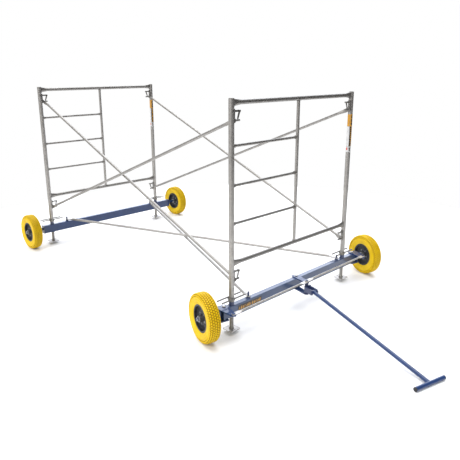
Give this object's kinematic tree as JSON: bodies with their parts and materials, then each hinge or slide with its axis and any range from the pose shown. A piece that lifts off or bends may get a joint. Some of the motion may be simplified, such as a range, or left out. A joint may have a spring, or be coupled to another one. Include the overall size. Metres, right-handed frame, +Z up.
{
  "type": "towable frame scaffold section",
  "caption": "Cross-braced tubular scaffold section on steered wheeled beams, with screw jacks, ladder frames and a tow handle.",
  "frame": {"origin": "on the ground under the middle of the object's box, midway between its two sides", "axes": "+X points the way it is towed, +Y to its left, +Z up"},
  "size_m": [4.7254, 2.2694, 1.813],
  "materials": {
    "galvanised": "hot-dip galvanised, faint spangle",
    "bright_zinc": "bright zinc plate",
    "blue_paint": "satin blue powder coat",
    "navy_paint": "dark blue enamel",
    "dark_steel": "dark forged steel",
    "tyre_foam": "yellow solid foam tyre",
    "black_rim": "black painted pressed steel",
    "black_plastic": "moulded end cap"
  },
  "bodies": {
    "frame": {"front_right_leg": "galvanised", "front_left_leg": "galvanised", "front_cross_bars": "galvanised", "front_stile": "galvanised", "front_rungs": "galvanised", "front_beam": "blue_paint", "rear_right_leg": "galvanised", "rear_left_leg": "galvanised", "rear_cross_bars": "galvanised", "rear_stile": "galvanised", "rear_rungs": "galvanised", "rear_beam": "blue_paint", "lock_brackets": "galvanised", "left_side_brace_1": "galvanised", "left_side_brace_2": "galvanised", "right_side_brace_1": "galvanised", "right_side_brace_2": "galvanised", "base_brace_1": "galvanised", "base_brace_2": "galvanised", "brace_rivets": "galvanised", "leg_collars": "blue_paint", "coupling_studs": "navy_paint", "rear_axles": "blue_paint", "pivot_pins": "navy_paint"},
    "steering_arm": {"steering_arm": "blue_paint"},
    "right_knuckle": {"right_knuckle": "blue_paint"},
    "right_tie_rod": {"right_tie_rod": "bright_zinc"},
    "left_knuckle": {"left_knuckle": "blue_paint"},
    "left_tie_rod": {"left_tie_rod": "bright_zinc"},
    "tow_bar": {"tow_tube": "blue_paint", "t_handle": "blue_paint", "handle_end_caps": "black_plastic"},
    "front_right_wheel": {"front_right_tyre": "tyre_foam", "front_right_rim": "black_rim"},
    "rear_right_wheel": {"rear_right_tyre": "tyre_foam", "rear_right_rim": "black_rim"},
    "front_left_wheel": {"front_left_tyre": "tyre_foam", "front_left_rim": "black_rim"},
    "rear_left_wheel": {"rear_left_tyre": "tyre_foam", "rear_left_rim": "black_rim"},
    "front_right_jack_nut": {"front_right_jack_nut": "bright_zinc"},
    "front_right_jack_screw": {"front_right_jack_screw": "bright_zinc"},
    "front_left_jack_nut": {"front_left_jack_nut": "bright_zinc"},
    "front_left_jack_screw": {"front_left_jack_screw": "bright_zinc"},
    "rear_right_jack_nut": {"rear_right_jack_nut": "bright_zinc"},
    "rear_right_jack_screw": {"rear_right_jack_screw": "bright_zinc"},
    "rear_left_jack_nut": {"rear_left_jack_nut": "bright_zinc"},
    "rear_left_jack_screw": {"rear_left_jack_screw": "bright_zinc"},
    "front_right_upper_lever": {"front_right_upper_lever": "dark_steel"},
    "front_right_lower_lever": {"front_right_lower_lever": "dark_steel"},
    "front_left_upper_lever": {"front_left_upper_lever": "dark_steel"},
    "front_left_lower_lever": {"front_left_lower_lever": "dark_steel"},
    "rear_right_upper_lever": {"rear_right_upper_lever": "dark_steel"},
    "rear_right_lower_lever": {"rear_right_lower_lever": "dark_steel"},
    "rear_left_upper_lever": {"rear_left_upper_lever": "dark_steel"},
    "rear_left_lower_lever": {"rear_left_lower_lever": "dark_steel"},
    "front_right_toggle": {"front_right_toggle": "navy_paint"},
    "front_left_toggle": {"front_left_toggle": "navy_paint"},
    "rear_right_toggle": {"rear_right_toggle": "navy_paint"},
    "rear_left_toggle": {"rear_left_toggle": "navy_paint"}
  },
  "joints": [
    {"name": "steering", "type": "hinge", "parent": "frame", "child": "steering_arm", "pos_m": [0.88127, 0, 0.234], "axis": [0, 0, 1], "range_deg": [-20.5, 49.5]},
    {"name": "right_knuckle_steer", "type": "hinge", "parent": "frame", "child": "right_knuckle", "pos_m": [0.88127, -0.88, 0.234], "axis": [0, 0, 1], "range_deg": [-20.5, 49.5]},
    {"name": "right_tie_rod_pivot", "type": "hinge", "parent": "steering_arm", "child": "right_tie_rod", "pos_m": [1.02649, -0.03756, 0.25], "axis": [0, 0, 1], "range_deg": [-49.5, 20.5]},
    {"name": "left_knuckle_steer", "type": "hinge", "parent": "frame", "child": "left_knuckle", "pos_m": [0.88127, 0.88, 0.234], "axis": [0, 0, 1], "range_deg": [-20.5, 49.5]},
    {"name": "left_tie_rod_pivot", "type": "hinge", "parent": "steering_arm", "child": "left_tie_rod", "pos_m": [1.02649, -0.03756, 0.25], "axis": [0, 0, 1], "range_deg": [-49.5, 20.5]},
    {"name": "tow_bar_lift", "type": "hinge", "parent": "steering_arm", "child": "tow_bar", "pos_m": [1.1233, -0.06259, 0.187], "axis": [-0.2504, -0.9681, 0], "range_deg": [0, 97.88]},
    {"name": "front_right_wheel_spin", "type": "hinge", "parent": "right_knuckle", "child": "front_right_wheel", "pos_m": [0.8387, -1.04459, 0.196], "axis": [0.2504, 0.9681, 0], "continuous": true},
    {"name": "rear_right_wheel_spin", "type": "hinge", "parent": "frame", "child": "rear_right_wheel", "pos_m": [-2.16673, -1.05, 0.196], "axis": [0, 1, 0], "continuous": true},
    {"name": "front_left_wheel_spin", "type": "hinge", "parent": "left_knuckle", "child": "front_left_wheel", "pos_m": [0.92383, 1.04459, 0.196], "axis": [0.2504, 0.9681, 0], "continuous": true},
    {"name": "rear_left_wheel_spin", "type": "hinge", "parent": "frame", "child": "rear_left_wheel", "pos_m": [-2.16673, 1.05, 0.196], "axis": [0, 1, 0], "continuous": true},
    {"name": "front_right_jack_turn", "type": "hinge", "parent": "frame", "child": "front_right_jack_nut", "pos_m": [0.88127, -0.8, 0.266], "axis": [0, 0, 1], "range_deg": [-3870, 4500]},
    {"name": "front_right_jack_slide", "type": "slide", "parent": "frame", "child": "front_right_jack_screw", "axis": [0, 0, 1], "range_m": [-0.1, 0.086]},
    {"name": "front_left_jack_turn", "type": "hinge", "parent": "frame", "child": "front_left_jack_nut", "pos_m": [0.88127, 0.7, 0.266], "axis": [0, 0, 1], "range_deg": [-3870, 4500]},
    {"name": "front_left_jack_slide", "type": "slide", "parent": "frame", "child": "front_left_jack_screw", "axis": [0, 0, 1], "range_m": [-0.1, 0.086]},
    {"name": "rear_right_jack_turn", "type": "hinge", "parent": "frame", "child": "rear_right_jack_nut", "pos_m": [-2.16673, -0.8, 0.266], "axis": [0, 0, 1], "range_deg": [-3870, 4500]},
    {"name": "rear_right_jack_slide", "type": "slide", "parent": "frame", "child": "rear_right_jack_screw", "axis": [0, 0, 1], "range_m": [-0.1, 0.086]},
    {"name": "rear_left_jack_turn", "type": "hinge", "parent": "frame", "child": "rear_left_jack_nut", "pos_m": [-2.16673, 0.7, 0.266], "axis": [0, 0, 1], "range_deg": [-3870, 4500]},
    {"name": "rear_left_jack_slide", "type": "slide", "parent": "frame", "child": "rear_left_jack_screw", "axis": [0, 0, 1], "range_m": [-0.1, 0.086]},
    {"name": "front_right_upper_lever_swing", "type": "hinge", "parent": "frame", "child": "front_right_upper_lever", "pos_m": [0.88407, -0.72065, 1.722], "axis": [-1, 0, 0], "range_deg": [0, 36]},
    {"name": "front_right_lower_lever_swing", "type": "hinge", "parent": "frame", "child": "front_right_lower_lever", "pos_m": [0.88407, -0.72065, 0.5028], "axis": [-1, 0, 0], "range_deg": [0, 36]},
    {"name": "front_left_upper_lever_swing", "type": "hinge", "parent": "frame", "child": "front_left_upper_lever", "pos_m": [0.88407, 0.62065, 1.722], "axis": [1, 0, 0], "range_deg": [0, 36]},
    {"name": "front_left_lower_lever_swing", "type": "hinge", "parent": "frame", "child": "front_left_lower_lever", "pos_m": [0.88407, 0.62065, 0.5028], "axis": [1, 0, 0], "range_deg": [0, 36]},
    {"name": "rear_right_upper_lever_swing", "type": "hinge", "parent": "frame", "child": "rear_right_upper_lever", "pos_m": [-2.16393, -0.72065, 1.722], "axis": [-1, 0, 0], "range_deg": [0, 36]},
    {"name": "rear_right_lower_lever_swing", "type": "hinge", "parent": "frame", "child": "rear_right_lower_lever", "pos_m": [-2.16393, -0.72065, 0.5028], "axis": [-1, 0, 0], "range_deg": [0, 36]},
    {"name": "rear_left_upper_lever_swing", "type": "hinge", "parent": "frame", "child": "rear_left_upper_lever", "pos_m": [-2.16393, 0.62065, 1.722], "axis": [1, 0, 0], "range_deg": [0, 36]},
    {"name": "rear_left_lower_lever_swing", "type": "hinge", "parent": "frame", "child": "rear_left_lower_lever", "pos_m": [-2.16393, 0.62065, 0.5028], "axis": [1, 0, 0], "range_deg": [0, 36]},
    {"name": "front_right_toggle_turn", "type": "hinge", "parent": "frame", "child": "front_right_toggle", "pos_m": [0.88127, -0.6096, 0.271], "axis": [1, 0, 0], "range_deg": [0, 90]},
    {"name": "front_left_toggle_turn", "type": "hinge", "parent": "frame", "child": "front_left_toggle", "pos_m": [0.88127, 0.6096, 0.271], "axis": [1, 0, 0], "range_deg": [0, 90]},
    {"name": "rear_right_toggle_turn", "type": "hinge", "parent": "frame", "child": "rear_right_toggle", "pos_m": [-2.16673, -0.6096, 0.271], "axis": [1, 0, 0], "range_deg": [0, 90]},
    {"name": "rear_left_toggle_turn", "type": "hinge", "parent": "frame", "child": "rear_left_toggle", "pos_m": [-2.16673, 0.6096, 0.271], "axis": [1, 0, 0], "range_deg": [0, 90]}
  ],
  "couplings": [
    {"joint": "right_knuckle_steer", "follows": "steering", "ratio": 1},
    {"joint": "right_tie_rod_pivot", "follows": "steering", "ratio": -1},
    {"joint": "left_knuckle_steer", "follows": "steering", "ratio": 1},
    {"joint": "left_tie_rod_pivot", "follows": "steering", "ratio": -1},
    {"joint": "front_right_jack_slide", "follows": "front_right_jack_turn", "m_per_rad": -0.0012732},
    {"joint": "front_left_jack_slide", "follows": "front_left_jack_turn", "m_per_rad": -0.0012732},
    {"joint": "rear_right_jack_slide", "follows": "rear_right_jack_turn", "m_per_rad": -0.0012732},
    {"joint": "rear_left_jack_slide", "follows": "rear_left_jack_turn", "m_per_rad": -0.0012732}
  ]
}
